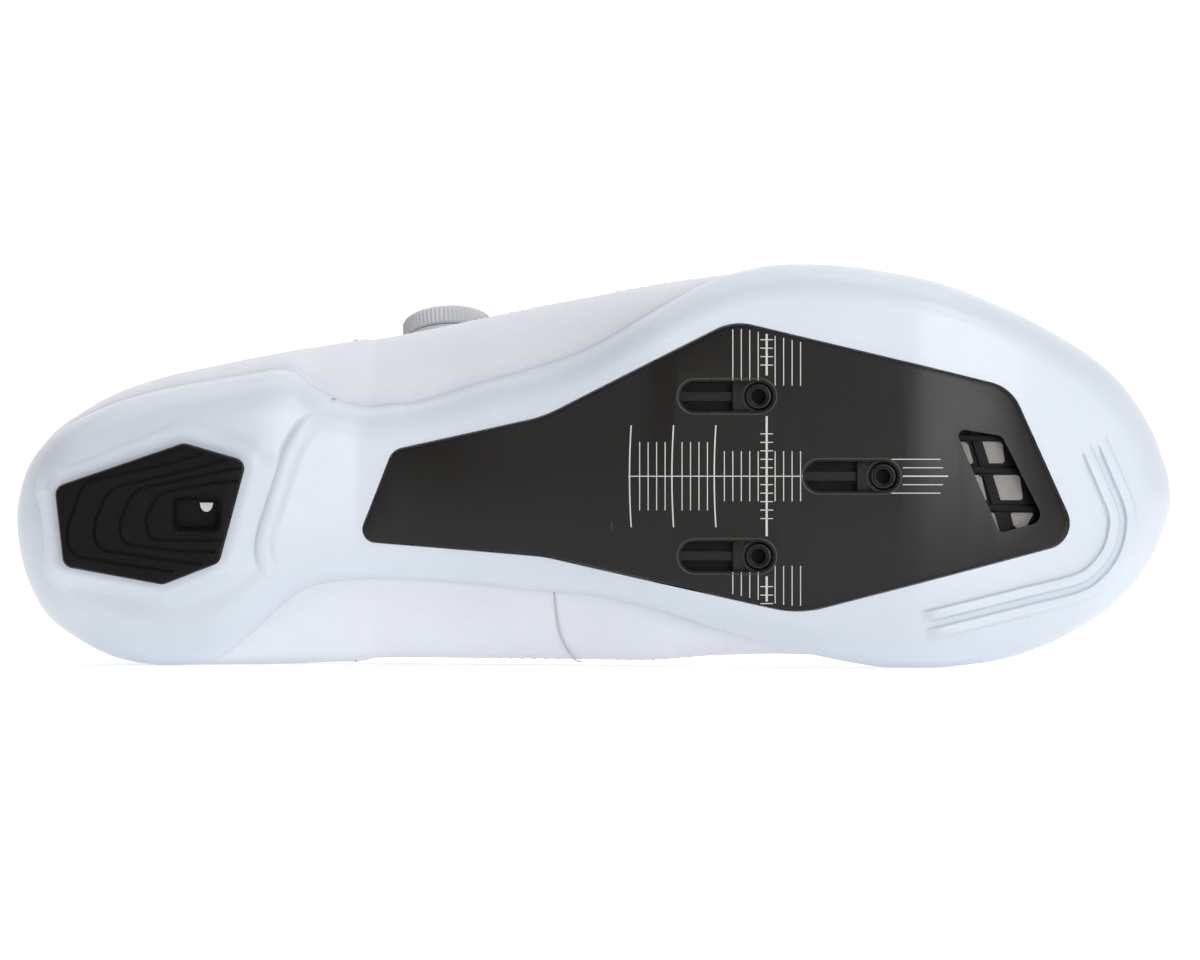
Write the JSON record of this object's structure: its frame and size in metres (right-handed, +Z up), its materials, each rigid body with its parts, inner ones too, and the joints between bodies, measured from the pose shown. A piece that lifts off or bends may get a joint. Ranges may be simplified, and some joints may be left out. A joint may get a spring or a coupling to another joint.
{
  "type": "cycling shoe",
  "caption": "Right road cycling shoe lying on its side, with a stiff plate, three sliding cleat nuts, a heel walking pad and a lace dial.",
  "frame": {"origin": "middle of the box's underside, the point where the lying shoe meets the floor", "axes": "+X from heel to toe, +Z up towards the shoe's outer side, the sole faces -Y"},
  "size_m": [0.28, 0.123, 0.0966],
  "materials": {
    "upper": "white synthetic leather, fine grain, small pinholes",
    "tongue": "white padded cloth",
    "insole": "pale grey mesh",
    "sole": "white moulded, satin",
    "plate": "black plate, satin sheen",
    "tray": "black moulded",
    "pad": "black rubber, matt",
    "nuts": "dull steel",
    "trim": "grey moulded",
    "lace": "smooth coated cable"
  },
  "bodies": {
    "shoe": {"upper": "upper", "tongue": "tongue", "insole": "insole", "sole": "sole", "sole_plate": "plate", "nut_tray": "tray", "vent_grille": "tray", "heel_pad": "pad", "dial_base": "trim", "dial_knob": "trim", "lace_guide_1": "trim", "lace_guide_2": "trim", "lace_guide_3": "trim", "lace_guide_4": "trim", "lace": "lace"},
    "nut_lateral": {"cleat_nut_lateral": "nuts"},
    "nut_medial": {"cleat_nut_medial": "nuts"},
    "nut_front": {"cleat_nut_front": "nuts"}
  },
  "joints": [
    {"name": "lateral_nut_slide", "type": "slide", "parent": "shoe", "child": "nut_lateral", "axis": [-1, 0, -0.0025], "range_m": [0, 0.015]},
    {"name": "medial_nut_slide", "type": "slide", "parent": "shoe", "child": "nut_medial", "axis": [-1, 0, -0.0025], "range_m": [0, 0.015]},
    {"name": "front_nut_slide", "type": "slide", "parent": "shoe", "child": "nut_front", "axis": [-1, 0, -0.0025], "range_m": [0, 0.015]}
  ]
}
